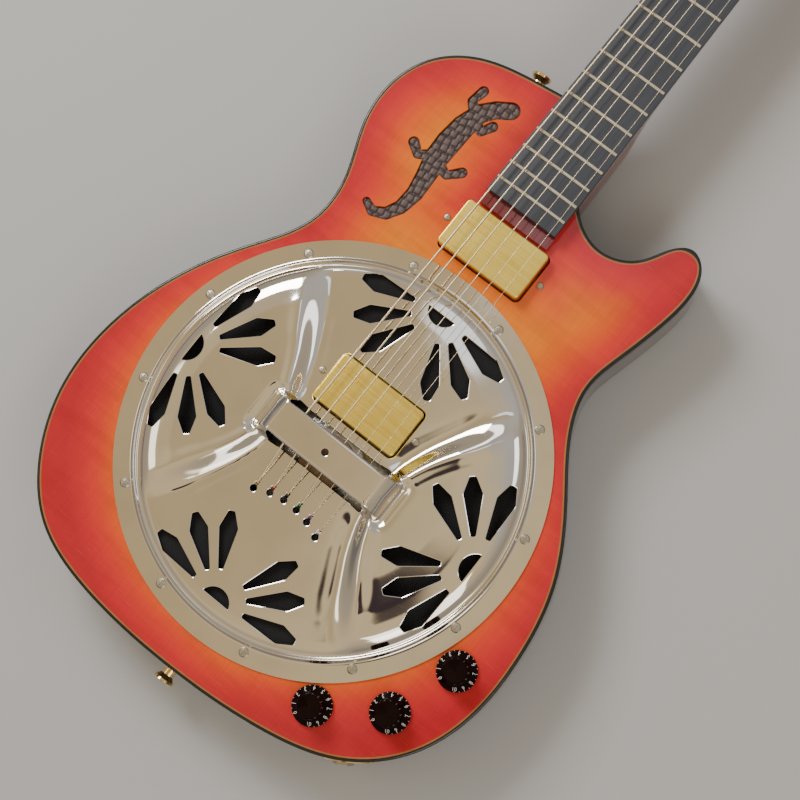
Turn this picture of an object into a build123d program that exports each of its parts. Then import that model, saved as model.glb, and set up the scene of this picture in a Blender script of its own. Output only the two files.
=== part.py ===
from build123d import *
import os
from math import asin, atan2, cos, degrees, radians, sin, sqrt

os.makedirs("parts", exist_ok=True)

# The guitar lies on its back: +X is the treble side, +Y runs to the headstock, +Z leaves the top.
# The origin is on the flat back, under the middle of the cover plate. All sizes are in mm.

# body
BODY_DEPTH = 48.0
TOP_THICKNESS = 6.0
BINDING_WIDTH = 2.0
PURFLING_WIDTH = 1.0
BACK_ROUND = 4.0
TOP = BODY_DEPTH
CAP = BODY_DEPTH - TOP_THICKNESS
BODY_OUTLINE = [
    (-18, 269), (-57, 264), (-90, 254), (-110, 237), (-121, 208), (-118, 178), (-105, 143),
    (-104, 113), (-127, 72), (-152, 27), (-165, -20), (-165, -65), (-150, -107), (-118, -142),
    (-70, -157.5), (0, -161), (70, -154), (120, -137), (150, -108), (165, -67), (166, -28),
    (156, 22), (130, 68), (105, 106), (98.5, 130), (103, 155), (111, 188), (113.5, 212),
    (107, 231), (97, 236), (87, 230), (75, 212), (53, 202), (34, 208), (18, 230),
]

# resonator
PLATE_RADIUS = 136.5
PLATE_SHEET = 1.0
PLATE_SCREW_CIRCLE = 129.0
PLATE_SCREW_COUNT = 12
WELL_RADIUS = 122.0
WELL_FLOOR = 6.0
LEDGE_HEIGHT = 16.0
LEDGE_INNER_RADIUS = 112.0
CONE_RADIUS = 120.5
CONE_SHEET = 0.6
CONE_CROWN = 42.0
VALLEY_HEIGHT = 5.0
SECTOR_HEIGHT = 10.5
PALM_REST_HEIGHT = 21.5
PALM_REST_HALF_LENGTH = 36.0
PALM_REST_HALF_WIDTH = 11.0
SLOT_HALF_LENGTH = 38.0
SLOT_EDGE = 15.0
FAN_RADIUS = 112.0
FAN_ANGLES = (28, 52, 78)
MOON_RADIUS = 10.4
MOON_CENTRE = 113.9
MOON_FLAT = 111.0

# neck and strings
SCALE_LENGTH = 647.7
BRIDGE_LINE = -3.7
NUT_LINE = BRIDGE_LINE + SCALE_LENGTH
FRET_COUNT = 20
BOARD_END = 190.0
TONGUE_END = 181.5
BOARD_BOTTOM = TOP + 4.5
BOARD_TOP = TOP + 10.5
BOARD_HALF_AT_NUT = 20.75
BOARD_TAPER = 0.01182
CAMBER_RADIUS = 305.0
FRET_HEIGHT = 1.1
FRET_WIDTH = 2.4
NUT_THICKNESS = 5.0
STRING_RADII = [0.71, 0.57, 0.445, 0.33, 0.215, 0.165]
NUT_SPREAD = 35.0
BRIDGE_SPREAD = 50.8
STRING_AT_SADDLE = TOP + 16.5
STRING_AT_NUT = BOARD_TOP + 1.9
KEYHOLES = [(-24.5, -44.0), (-14.6, -40.0), (-5.0, -38.2), (5.0, -38.2), (14.6, -40.0), (24.5, -44.0)]
KEYHOLE_RADIUS = 2.3
KEYHOLE_SLOT = 5.5
BALL_RADIUS = 2.0

# headstock and tuners, in the headstock's own frame
HEAD_START = NUT_LINE + NUT_THICKNESS + 1.0
HEAD_ANGLE = 8.0
HEAD_THICKNESS = 14.0
VENEER = 1.5
POST_PLACES = [(24, 42), (26.5, 82), (29, 122)]
POST_RADIUS = 3.0
POST_TOP = 13.0
WIND_LEVEL = 8.0
WORM_OFFSET = -7.3
WORM_DEPTH = -19.0
TRUSS_COVER_SCREWS = [(-5.6, 4.6), (5.6, 4.6), (0, 31)]

# pickups
PICKUP_LENGTH = 62.5
PICKUP_WIDTH = 34.0
PICKUP_WALL = 0.8
PICKUP_CORNER = 3.0
PICKUP_GAP = 1.0
NECK_PICKUP = (0, 162, TOP + 8.0, 18.0)
BRIDGE_PICKUP = (0, 39, TOP + 10.0, 12.5)
PICKUP_SCREW_SPAN = 73.0

# controls, jack and strap buttons
KNOB_PLACES = {"neck_volume": (86, -123), "bridge_volume": (125, -97), "tone": (141, -53)}
KNOB_SKIRT_RADIUS = 12.5
KNOB_HEIGHT = 17.0
SHAFT_RADIUS = 3.0
RUNNING_GAP = 0.05
CAVITY_RADIUS = 16.5
COVER_RADIUS = 21.0
COVER_SHEET = 2.5
COVER_SCREW_REACH = 18.4
COVER_SCREW_HEAD = 2.0
COVER_SCREW_SHANK = 1.1
COUNTERSINK = 1.3
JACK_POINT = (118, -138)
JACK_HEIGHT = 24.0
JACK_BORE = 3.25
JACK_SURFACE = 1.5
TAIL_BUTTON = ((0, -161), 25.0)
SHOULDER_BUTTON = ((-50, 265), 24.0)
SMALL_SCREW_RADIUS = 1.3


# ---- small helpers ---------------------------------------------------------

def write(name, *solids):
    """One STEP file per node; a node of several solids is a compound."""
    flat = []
    for item in solids:
        flat.extend(item.solids())
    shape = flat[0] if len(flat) == 1 else Compound(children=flat)
    export_step(shape, f"parts/{name}.step")
    print(name, len(flat), round(sum(s.volume for s in flat), 1))


def rod(radius, start, end):
    """A round bar between two points."""
    start = Vector(*start)
    end = Vector(*end)
    plane = Plane(origin=start, z_dir=end - start)
    return extrude(plane * Circle(radius), amount=(end - start).length)


def disc(radius, x, y, low, high):
    return rod(radius, (x, y, low), (x, y, high))


def block(x0, x1, y0, y1, z0, z1):
    centre = ((x0 + x1) / 2, (y0 + y1) / 2, (z0 + z1) / 2)
    return Pos(*centre) * Box(x1 - x0, y1 - y0, z1 - z0)


def turned(points):
    """A solid of revolution about Z from (radius, height) corners."""
    face = Plane.XZ * make_face(Polyline(*points, close=True))
    return revolve(face, axis=Axis.Z)


def slab(face, low, high):
    return extrude(Pos(0, 0, low) * face, amount=high - low)


def fuse(parts):
    whole = parts[0]
    for part in parts[1:]:
        whole = whole + part
    return whole


def chain(places, radius):
    """A flat shape made of round-ended bars from one place to the next."""
    shapes = [Pos(x, y) * Circle(radius) for x, y in places]
    for (x0, y0), (x1, y1) in zip(places, places[1:]):
        run = sqrt((x1 - x0) ** 2 + (y1 - y0) ** 2)
        turn = degrees(atan2(y1 - y0, x1 - x0))
        shapes.append(Pos((x0 + x1) / 2, (y0 + y1) / 2) * Rot(0, 0, turn) * Rectangle(run, 2 * radius))
    return fuse(shapes)


def biggest(shape):
    return max(shape.solids(), key=lambda solid: solid.volume)


def board_half(y):
    """Half the width of the fingerboard and neck at a place along them."""
    return BOARD_HALF_AT_NUT + (NUT_LINE - y) * BOARD_TAPER


def camber(x):
    """How far the cambered fingerboard falls away from its middle line."""
    return sqrt(CAMBER_RADIUS ** 2 - x ** 2) - CAMBER_RADIUS


def screw(place, direction, head_radius, shank_radius, length):
    """A countersunk-style screw: domed head above its place, plain shank below, cross slot."""
    profile = [(0, -length), (shank_radius * 0.4, -length), (shank_radius, -length * 0.85),
               (shank_radius, 0), (head_radius, 0), (head_radius, 0.3), (head_radius * 0.75, 0.9), (0, 1.2)]
    body = turned(profile)
    for turn in (0, 90):
        body -= Rot(0, 0, turn) * Pos(0, 0, 1.1) * Box(head_radius * 1.2, head_radius * 0.22, 1.0)
    return Plane(origin=place, z_dir=direction).location * body


# ---- body --------------------------------------------------------------------

def body_face(inset):
    """The body's outline moved inwards; its ends lie under the neck and are joined straight."""
    edge = Spline(*BODY_OUTLINE)
    if inset:
        steps = 90
        moved = []
        for k in range(steps + 1):
            point = edge @ (k / steps)
            along = edge % (k / steps)
            moved.append((point.X - along.Y * inset, point.Y + along.X * inset))
        edge = Spline(*moved)
    return make_face([edge, Line(edge @ 1, edge @ 0)])


def lizard_face(clearance):
    """A plain lizard: a chain of tapering rounds along a curved spine, and four bent legs."""
    spine = [(-47, 240, 6), (-55, 235, 6), (-62, 227, 6.5), (-65, 214, 8), (-66, 201, 8.5), (-66, 188, 8),
             (-64, 175, 6.6), (-62.5, 162, 5.6), (-64, 150, 4.8), (-69, 141, 4.2), (-77, 137, 3.4),
             (-84, 140, 2.6)]
    legs = [[(-63, 224, 4), (-71, 231, 3), (-69, 240, 3.6)],
            [(-62, 222, 4), (-54, 218, 3), (-50, 225, 3.6)],
            [(-66, 190, 4.5), (-77, 183, 3), (-84, 188, 3.6)],
            [(-65, 186, 4.5), (-54, 183, 3), (-47, 190, 3.6)]]
    shapes = []
    for limb in [spine] + legs:
        for (x0, y0, r0), (x1, y1, r1) in zip(limb, limb[1:]):
            shapes.append(tapered_bar(x0, y0, r0 - clearance, x1, y1, r1 - clearance))
    return fuse(shapes)


def tapered_bar(x0, y0, r0, x1, y1, r1):
    """Two rounds of different size and the straight sides that are tangent to both."""
    run = sqrt((x1 - x0) ** 2 + (y1 - y0) ** 2)
    lean = asin((r0 - r1) / run)
    start = (r0 * sin(lean), r0 * cos(lean))
    stop = (run + r1 * sin(lean), r1 * cos(lean))
    sides = Polyline(start, stop, (stop[0], -stop[1]), (start[0], -start[1]), close=True)
    bar = make_face(sides) + Circle(r0) + Pos(run, 0) * Circle(r1)
    return Pos(x0, y0) * Rot(0, 0, degrees(atan2(y1 - y0, x1 - x0))) * bar


def pickup_window(grow):
    size = (PICKUP_LENGTH + 2 * grow, PICKUP_WIDTH + 2 * grow)
    return RectangleRounded(*size, radius=PICKUP_CORNER + grow)


def side_plane(point, height):
    """A plane on the body's side nearest the point, whose Z axis points out of the body."""
    edge = Spline(*BODY_OUTLINE)
    steps = 2000
    gaps = [((edge @ (k / steps)) - Vector(*point)).length for k in range(steps + 1)]
    nearest = gaps.index(min(gaps)) / steps
    along = edge % nearest
    spot = edge @ nearest
    return Plane(origin=(spot.X, spot.Y, height), x_dir=along, z_dir=(along.Y, -along.X, 0))


def make_top_plate(neck):
    top = slab(body_face(BINDING_WIDTH + PURFLING_WIDTH), CAP, TOP)
    top -= disc(WELL_RADIUS + 1, 0, 0, CAP - 1, TOP + 1)
    top -= Pos(*NECK_PICKUP[:2]) * slab(pickup_window(PICKUP_GAP), CAP - 1, TOP + 1)
    top -= slab(lizard_face(0), TOP - 2.0, TOP + 1)
    for x, y in KNOB_PLACES.values():
        top -= disc(3.6, x, y, CAP - 1, TOP + 1)
    return top - neck


def make_body_shell(neck):
    shell = slab(body_face(0), 0, CAP)
    bottom = shell.edges().group_by(Axis.Z)[0]
    shell = fillet(max(bottom, key=lambda edge: edge.length), BACK_ROUND)
    shell -= disc(WELL_RADIUS, 0, 0, LEDGE_HEIGHT, CAP + 1)
    shell -= disc(LEDGE_INNER_RADIUS, 0, 0, WELL_FLOOR, CAP + 1)
    shell -= block(-42, 42, 100, 183, CAP - 18, CAP + 1)
    places = list(KNOB_PLACES.values())
    shell -= slab(chain(places, CAVITY_RADIUS), -1, CAP + 1)
    shell -= slab(chain(places, COVER_RADIUS), -1, COVER_SHEET)
    shell -= rod(4.0, (118, -70, 30), (88, -50, 30))
    jack = side_plane(JACK_POINT, JACK_HEIGHT)
    shell -= extrude(jack.offset(-28) * Circle(10), amount=40)
    return shell - neck


def make_control_cover():
    cover = slab(chain(list(KNOB_PLACES.values()), COVER_RADIUS - 0.3), 0, COVER_SHEET)
    for x, y in cover_screw_places():
        cover -= disc(COVER_SCREW_HEAD + 0.1, x, y, -1, COUNTERSINK)
    return cover


def cover_screw_places():
    (x0, y0), (x1, y1), (x2, y2) = KNOB_PLACES.values()
    reach = COVER_SCREW_REACH
    slant = reach * cos(radians(45))
    return [(x0 - reach, y0), (x1 - slant, y1 + slant), (x1 + slant, y1 - slant), (x2, y2 + reach)]


# ---- resonator ---------------------------------------------------------------

def fan_holes():
    """Four fans of a half-moon and six kite-shaped petals, cut upright through the plate."""
    half_moon = Pos(0, MOON_CENTRE) * Circle(MOON_RADIUS)
    half_moon -= Pos(0, MOON_FLAT + MOON_RADIUS) * Rectangle(3 * MOON_RADIUS, 2 * MOON_RADIUS)
    shapes = [half_moon]
    for angle in FAN_ANGLES:
        for side in (-1, 1):
            kite = Polyline((-1.5, -19.5), (1.5, -19.5), (6.0, -45.0), (2.0, -55.5), (-2.0, -55.5),
                            (-6.0, -45.0), close=True)
            shapes.append(Pos(0, FAN_RADIUS) * Rot(0, 0, side * angle) * make_face(kite))
    holes = []
    for quarter in range(4):
        for shape in shapes:
            holes.append(slab(Rot(0, 0, 90 * quarter) * shape, TOP - 5, TOP + 30))
    return holes


def sector_wire(shrink, level):
    """The plan of a raised side sector: a waisted ridge line closed by an arc along the rim."""
    rim = 118.5
    ridge = [(38 + shrink, 0), (39 + shrink, 16), (46 + shrink, 40), (57 + shrink, 60), (68 + shrink, 80)]
    turn = asin(86 / rim)
    corner = (rim * cos(turn), rim * sin(turn))
    upper = Spline(*[(x, y, level) for x, y in ridge], (*corner, level))
    lower = Spline(*[(x, -y, level) for x, y in ridge], (corner[0], -corner[1], level))
    arc = ThreePointArc((*corner, level), (rim, 0, level), (corner[0], -corner[1], level))
    return Wire([upper, arc, lower])


def pressed_form(sheet):
    """The solid under the pressed plate: low middle, two raised sides, and the bead at the rim."""
    floor = TOP - (1 if sheet else 0)
    low = turned([(0, floor), (119.5 - sheet, floor), (119.5 - sheet, TOP + 0.6 - sheet * 0.6),
                  (117.5 - sheet, TOP + 2.4 - sheet), (108, TOP + 3.6 - sheet),
                  (60, TOP + VALLEY_HEIGHT - sheet), (0, TOP + VALLEY_HEIGHT - sheet)])
    high = turned([(0, floor), (119.5 - sheet, floor), (118 - sheet, TOP + 3.0 - sheet),
                   (112 - sheet * 0.6, TOP + 7.2 - sheet), (98, TOP + 9.0 - sheet),
                   (45, TOP + SECTOR_HEIGHT - sheet), (0, TOP + SECTOR_HEIGHT - sheet)])
    base = Face(sector_wire(sheet * 1.2 - 2, TOP - 1))
    crown = Face(sector_wire(sheet * 1.2 + 6, TOP + 12))
    raised = loft([base, crown]) & high
    bead = revolve(Plane.XZ * Pos(123, TOP) * Circle(2.0 - sheet), axis=Axis.Z)
    if not sheet:
        bead = bead & block(-140, 140, -140, 140, TOP, TOP + 5)
    return low + raised + mirror(raised, about=Plane.YZ) + bead


def palm_rest():
    """A bent strap that bridges the bridge saddle and lands on the raised sides."""
    strap = []
    for thickness in (0.0, 1.2):
        flat = PALM_REST_HALF_LENGTH - thickness * 0.5
        top = TOP + PALM_REST_HEIGHT - thickness
        foot = TOP + SECTOR_HEIGHT - 1.2
        side = [(flat + 10 - thickness * 1.2, foot - thickness), (flat + 5 - thickness, top - 5.5),
                (flat, top)]
        right = Spline(*side, tangents=[(-0.5, 1), (-1, 0)])
        left = Spline(*[(-x, z) for x, z in side], tangents=[(0.5, 1), (1, 0)])
        face = make_face([right, Line(right @ 1, left @ 1), left, Line(left @ 0, right @ 0)])
        strap.append(extrude(Plane.XZ * face, amount=PALM_REST_HALF_WIDTH, both=True))
    bar = strap[0] - strap[1]
    return bar - disc(2.4, 0, 0, TOP + 10, TOP + 30)


def make_cover_plate():
    flange = disc(PLATE_RADIUS, 0, 0, TOP, TOP + PLATE_SHEET) - disc(118, 0, 0, TOP - 1, TOP + 2)
    plate = flange + pressed_form(0) - pressed_form(PLATE_SHEET)
    plate -= block(-SLOT_HALF_LENGTH, SLOT_HALF_LENGTH, -SLOT_EDGE, SLOT_EDGE, TOP - 2, TOP + 30)
    plate = plate + palm_rest()
    plate -= Pos(*BRIDGE_PICKUP[:2]) * slab(pickup_window(PICKUP_GAP), TOP - 2, TOP + 30)
    for hole in fan_holes():
        plate -= hole
    for x, y in KEYHOLES:
        plate -= disc(KEYHOLE_RADIUS, x, y, TOP - 2, TOP + 12)
        plate -= block(x - 1.1, x + 1.1, y, y + KEYHOLE_SLOT, TOP - 2, TOP + 12)
    for place in plate_screw_places():
        plate -= disc(1.7, *place, TOP - 1, TOP + 3)
    for x, y in bridge_pickup_screws():
        plate -= disc(1.7, x, y, TOP - 1, TOP + 12)
    return biggest(plate)


def plate_screw_places():
    places = []
    for k in range(PLATE_SCREW_COUNT):
        turn = radians(15 + k * 360 / PLATE_SCREW_COUNT)
        places.append((PLATE_SCREW_CIRCLE * cos(turn), PLATE_SCREW_CIRCLE * sin(turn)))
    return places


def bridge_pickup_screws():
    return [(side * PICKUP_SCREW_SPAN / 2, BRIDGE_PICKUP[1]) for side in (-1, 1)]


def make_cone():
    """A spun aluminium cone whose rim rests on the ledge and whose crown carries the biscuit."""
    low = LEDGE_HEIGHT
    t = CONE_SHEET
    cone = turned([(0, CONE_CROWN - t), (19, CONE_CROWN - t), (24, CONE_CROWN - 2 - t), (112, low + 3.5),
                   (115, low), (CONE_RADIUS, low), (CONE_RADIUS, low + t), (115.6, low + t),
                   (112.4, low + 3.5 + t), (24.4, CONE_CROWN - 2), (19.2, CONE_CROWN), (0, CONE_CROWN)])
    return cone - disc(1.6, 0, BRIDGE_LINE, CONE_CROWN - 5, CONE_CROWN + 5)


def make_biscuit():
    biscuit = disc(17, 0, BRIDGE_LINE, CONE_CROWN, CONE_CROWN + 9)
    biscuit -= block(-18, 18, BRIDGE_LINE - 1.5, BRIDGE_LINE + 1.5, CONE_CROWN + 5, CONE_CROWN + 10)
    return biscuit - disc(1.6, 0, BRIDGE_LINE, CONE_CROWN - 1, CONE_CROWN + 6)


def cambered_bar(half, y0, y1, bottom, crown):
    """An upright bar across the strings, its top cambered like the fingerboard."""
    bar = block(-half, half, y0, y1, bottom, crown + 1)
    roof = rod(CAMBER_RADIUS, (0, y0 - 1, crown - CAMBER_RADIUS), (0, y1 + 1, crown - CAMBER_RADIUS))
    return bar & roof


def make_saddle(strings):
    saddle = cambered_bar(28.5, BRIDGE_LINE - 1.5, BRIDGE_LINE + 1.5, CONE_CROWN + 9, STRING_AT_SADDLE)
    saddle = saddle + block(-16, 16, BRIDGE_LINE - 1.5, BRIDGE_LINE + 1.5, CONE_CROWN + 5, CONE_CROWN + 9.5)
    for side in (-1, 1):
        wedge = Plane.YZ * make_face(Polyline((side * 0.5, 0), (side * 3, 0), (side * 3, -5), close=True))
        place = Pos(0, BRIDGE_LINE, STRING_AT_SADDLE + 0.2)
        saddle -= place * extrude(wedge, amount=40, both=True)
    for string in strings:
        saddle -= string
    return biggest(saddle)


# ---- neck ----------------------------------------------------------------------

def neck_section(y, depth, fullness):
    """A flat-topped section whose underside is a super-ellipse of the given fullness."""
    half = board_half(y)
    points = []
    for k in range(13):
        turn = radians(180 * k / 12)
        across = cos(turn)
        down = sin(turn)
        x = half * (1 if across >= 0 else -1) * abs(across) ** (2 / fullness)
        z = BOARD_BOTTOM - depth * abs(down) ** (2 / fullness)
        points.append((x, y, z))
    curve = Spline(*points)
    return Face(Wire([curve, Line(points[-1], points[0])]))


def head_plane():
    tilt = radians(HEAD_ANGLE)
    return Plane(origin=(0, HEAD_START, BOARD_BOTTOM), x_dir=(1, 0, 0), z_dir=(0, sin(tilt), cos(tilt)))


def head_point(x, y, z):
    return head_plane().from_local_coords(Vector(x, y, z))


def head_face():
    """A plain three-a-side headstock that widens to a gently crowned end."""
    side = [(20.8, 0), (22.5, 10), (31, 34), (35.5, 72), (38.5, 122), (36, 152)]
    right = Spline(*side)
    left = Spline(*[(-x, y) for x, y in side])
    crown = ThreePointArc(side[-1], (0, 164), (-side[-1][0], side[-1][1]))
    return make_face([Line(left @ 0, right @ 0), right, crown, left])


def on_head(shape):
    return head_plane().location * shape


def make_neck():
    shaft = loft([neck_section(HEAD_START + 4, 14.5, 2.3), neck_section(450, 16, 2.3),
                  neck_section(310, 17.5, 2.3)])
    heel = loft([neck_section(310, 17.5, 2.3), neck_section(292, 23, 2.6), neck_section(277, 34, 3.4),
                 neck_section(266, 42, 5.0)])
    tenon = loft([neck_section(266, 42, 5.0), neck_section(TONGUE_END, 42, 5.0)])
    tenon -= block(-30, 30, TONGUE_END - 1, BOARD_END + 6, 0, TOP)
    head = on_head(slab(head_face(), -HEAD_THICKNESS, 0))
    neck = shaft + heel + tenon + head
    neck -= block(-3, 3, 200, HEAD_START + 4, BOARD_BOTTOM - 9, BOARD_BOTTOM + 1)
    neck -= on_head(slab(Pos(0, 16) * RectangleRounded(10, 24, radius=4), -6, 1))
    for place in post_places():
        neck -= on_head(disc(4.5, place[0], place[1], -HEAD_THICKNESS - 2, 3))
    return neck


def plan_taper(y0, y1):
    low = board_half(y0)
    high = board_half(y1)
    return make_face(Polyline((-low, y0), (low, y0), (high, y1), (-high, y1), close=True))


def make_fret(y, grow=0.0):
    """One fret: a rounded crown with a tang, turned about the axis of the fingerboard's camber."""
    half = board_half(y) - 0.4 + grow
    crown = Pos(y, BOARD_TOP) * Ellipse(FRET_WIDTH / 2, FRET_HEIGHT)
    crown &= Pos(y, BOARD_TOP + 2) * Rectangle(6, 4)
    tang = Pos(y, BOARD_TOP - 0.8) * Rectangle(0.6, 2.0)
    section = Plane.YZ * (crown + tang)
    arc = degrees(asin(half / CAMBER_RADIUS))
    spin = Axis((0, 0, BOARD_TOP - CAMBER_RADIUS), (0, 1, 0))
    fret = revolve(section, axis=spin, revolution_arc=2 * arc)
    return fret.rotate(spin, -arc)


def make_fingerboard(frets):
    board = slab(plan_taper(BOARD_END, NUT_LINE), BOARD_BOTTOM, BOARD_TOP + 1)
    roof = rod(CAMBER_RADIUS, (0, 0, BOARD_TOP - CAMBER_RADIUS), (0, 700, BOARD_TOP - CAMBER_RADIUS))
    board = board & roof
    for fret in frets:
        board -= fret
    for dot in make_side_dots():
        board -= dot
    return board


def make_side_dots():
    """Small position dots on the bass edge of the fingerboard."""
    dots = []
    for n in (3, 5, 7, 9, 12, 15, 17, 19):
        y = (fret_line(n) + fret_line(n - 1)) / 2
        for shift in ((-3, 3) if n == 12 else (0,)):
            edge = -board_half(y + shift)
            level = BOARD_TOP - 3.4
            dots.append(rod(1.0, (edge + 1.5, y + shift, level), (edge + 0.03, y + shift, level)))
    return dots


def fret_line(n):
    return BRIDGE_LINE + SCALE_LENGTH * 2 ** (-n / 12)


def make_nut(strings):
    half = board_half(NUT_LINE)
    nut = cambered_bar(half, NUT_LINE, NUT_LINE + NUT_THICKNESS, BOARD_BOTTOM, STRING_AT_NUT)
    for string in strings:
        nut -= string
    return biggest(nut)


def make_truss_rod():
    bar = block(-2.9, 2.9, 202, HEAD_START - 1, BOARD_BOTTOM - 8.8, BOARD_BOTTOM - 0.2)
    adjuster = on_head(rod(2.6, (0, -2, -3.4), (0, 14, -3.4)))
    socket = Plane(origin=(0, 15, -3.4), z_dir=(0, -1, 0)) * RegularPolygon(1.9, 6)
    adjuster -= on_head(extrude(socket, amount=8))
    return bar + adjuster


def make_truss_cover():
    shape = Pos(0, 17) * RectangleRounded(17, 34, radius=7)
    cover = on_head(slab(shape, VENEER, VENEER + 1.8))
    for x, y in TRUSS_COVER_SCREWS:
        cover -= on_head(disc(SMALL_SCREW_RADIUS, x, y, 0, 5))
    return cover


def make_veneer():
    veneer = on_head(slab(head_face(), 0, VENEER))
    veneer -= on_head(slab(Pos(0, 16) * RectangleRounded(10, 24, radius=4), -1, VENEER + 1))
    for place in post_places():
        veneer -= on_head(disc(4.5, place[0], place[1], -2, 3))
    return veneer


# ---- strings and tuners ------------------------------------------------------------

def post_places():
    """Posts in string order, from the low string to the high one: x, y along the head, side."""
    bass = [(-x, y, -1) for x, y in POST_PLACES]
    treble = [(x, y, 1) for x, y in reversed(POST_PLACES)]
    return bass + treble


def string_spread(number, spread):
    return spread * (number / 5 - 0.5)


def string_points(number):
    """Ball end, plate edge, saddle, nut, and the place just before the windings on the post."""
    radius = STRING_RADII[number]
    hole_x, hole_y = KEYHOLES[number]
    tip = hole_y + KEYHOLE_SLOT - 1.3
    plate = TOP + VALLEY_HEIGHT
    saddle_x = string_spread(number, BRIDGE_SPREAD)
    nut_x = string_spread(number, NUT_SPREAD)
    post_x, post_y, side = post_places()[number]
    reach = post_x - side * (POST_RADIUS + radius)
    return [
        (hole_x, tip - 0.4, plate - PLATE_SHEET - 0.1),
        (hole_x, tip, plate + 0.9 + radius * 0.4),
        (saddle_x, BRIDGE_LINE, STRING_AT_SADDLE + camber(saddle_x)),
        (nut_x, NUT_LINE + 0.5, STRING_AT_NUT + camber(nut_x)),
        tuple(head_point(reach, post_y - 6.0, WIND_LEVEL)),
    ]


def make_string(number, grow=0.0):
    path = FilletPolyline(*string_points(number), radius=[0.9, 2.0, 6.0])
    start = Plane(origin=path @ 0, z_dir=path % 0)
    return sweep(start * Circle(STRING_RADII[number] + grow), path=path)


def make_ball_end(number):
    x, y = KEYHOLES[number]
    centre = (x, y + KEYHOLE_SLOT - 1.7, TOP + VALLEY_HEIGHT - PLATE_SHEET - 0.15 - BALL_RADIUS)
    profile = [(0.8, -1.7), (BALL_RADIUS, -1.7), (BALL_RADIUS, -0.9), (BALL_RADIUS - 0.35, 0),
               (BALL_RADIUS, 0.9), (BALL_RADIUS, 1.7), (0.8, 1.7)]
    return Plane(origin=centre, z_dir=(1, 0, 0)).location * turned(profile)


def place_tuner(place, shape):
    """Puts a tuner part, drawn for the treble side about its post, on the headstock."""
    x, y, side = place
    if side < 0:
        shape = mirror(shape, about=Plane.YZ)
    return on_head(Pos(x, y, 0) * shape)


def make_tuner_post(radius):
    post = disc(POST_RADIUS, 0, 0, -21, POST_TOP)
    post = post + disc(5.2, 0, 0, -20.5, -17.5)
    post -= rod(1.0, (-5, 0, WIND_LEVEL + 2), (5, 0, WIND_LEVEL + 2))
    post = chamfer(post.edges().group_by(Axis.Z)[-1], 0.6)
    return post


def make_winding(radius):
    """The wrapped string on its post: one closed ring for each turn, fewer on the thick strings."""
    rings = []
    for k in range(3 if radius > 0.4 else 5):
        ring = disc(POST_RADIUS + 2 * radius, 0, 0, 0, 2 * radius) - disc(POST_RADIUS, 0, 0, -1, 3)
        rings.append(Pos(0, 0, WIND_LEVEL + radius - 2 * radius * (k + 1)) * ring)
    return rings


def make_tuner_key():
    """Worm, shaft and button, all on the axis beside the post."""
    axis = (WORM_OFFSET, WORM_DEPTH)
    worm = rod(1.9, (-5, *axis), (5, *axis))
    shaft = rod(1.5, (-5.6, *axis), (20, *axis))
    collar = rod(2.6, (9.0, *axis), (12, *axis))
    button = Pos(24.5, *axis) * Rot(0, 90, 0) * extrude(Ellipse(4.0, 8.5), amount=6.5, both=True)
    button = fillet(button.edges().filter_by(GeomType.ELLIPSE), 1.2)
    return worm + shaft + collar + button


def make_tuner_housing():
    y0 = WORM_OFFSET - 4.2
    housing = block(-7.6, 7.6, y0, 7.4, -24.0, -HEAD_THICKNESS)
    housing = fillet(housing.edges().filter_by(Axis.Z), 2.0)
    cavity = block(-6.3, 6.3, y0 + 1.3, 6.2, -22.2, -HEAD_THICKNESS - 1.2)
    bore = rod(1.5 + RUNNING_GAP, (5, WORM_OFFSET, WORM_DEPTH), (9, WORM_OFFSET, WORM_DEPTH))
    tab = block(-3.5, 3.5, 7.0, 13.5, -HEAD_THICKNESS - 1.6, -HEAD_THICKNESS)
    mouth = disc(POST_RADIUS + 0.6, 0, 0, -HEAD_THICKNESS - 2, -HEAD_THICKNESS + 1)
    screw_hole = disc(SMALL_SCREW_RADIUS, 0, 10.6, -HEAD_THICKNESS - 3, -HEAD_THICKNESS + 1)
    return housing + tab - cavity - bore - mouth - screw_hole


def make_bushing():
    bushing = disc(4.5, 0, 0, -6, VENEER)
    bushing = bushing + slab(RegularPolygon(6.0, 6), VENEER, VENEER + 1.6)
    return bushing - disc(POST_RADIUS + RUNNING_GAP, 0, 0, -7, 4)


# ---- pickups ---------------------------------------------------------------------

def make_pickup_cover(place):
    x, y, top, depth = place
    cover = slab(RectangleRounded(PICKUP_LENGTH, PICKUP_WIDTH, radius=PICKUP_CORNER), top - depth, top)
    cover = fillet(cover.edges().group_by(Axis.Z)[-1], 1.0)
    inner = (PICKUP_LENGTH - 2 * PICKUP_WALL, PICKUP_WIDTH - 2 * PICKUP_WALL)
    cover -= slab(RectangleRounded(*inner, radius=PICKUP_CORNER - PICKUP_WALL), top - 20, top - PICKUP_WALL)
    return Pos(x, y) * cover


def make_pickup_coils(place):
    """Two bobbins with their windings, each an oval ring of wire round a slotted core."""
    x, y, top, depth = place
    coils = []
    for side in (-1, 1):
        oval = RectangleRounded(58, 13.6, radius=6.5)
        bobbin = slab(oval, top - 9.4, top - 1.2)
        bobbin -= slab(RectangleRounded(50, 3.2, radius=1.5), top - 12, top)
        coils.append(Pos(x, y + side * 7.4) * bobbin)
    return coils


def make_pickup_base(place):
    x, y, top, depth = place
    low = top - depth - 1.4
    base = slab(RectangleRounded(PICKUP_LENGTH, PICKUP_WIDTH, radius=PICKUP_CORNER), low, low + 1.3)
    base = base + slab(RectangleRounded(PICKUP_SCREW_SPAN + 8, 9, radius=3), low, low + 1.3)
    for side in (-1, 1):
        base -= disc(1.35, side * PICKUP_SCREW_SPAN / 2, 0, low - 1, low + 3)
    return Pos(x, y) * base


def make_pickup_magnet(place):
    x, y, top, depth = place
    return block(x - 28, x + 28, y - 3.2, y + 3.2, top - depth + 0.1, top - 9.6)


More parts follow.
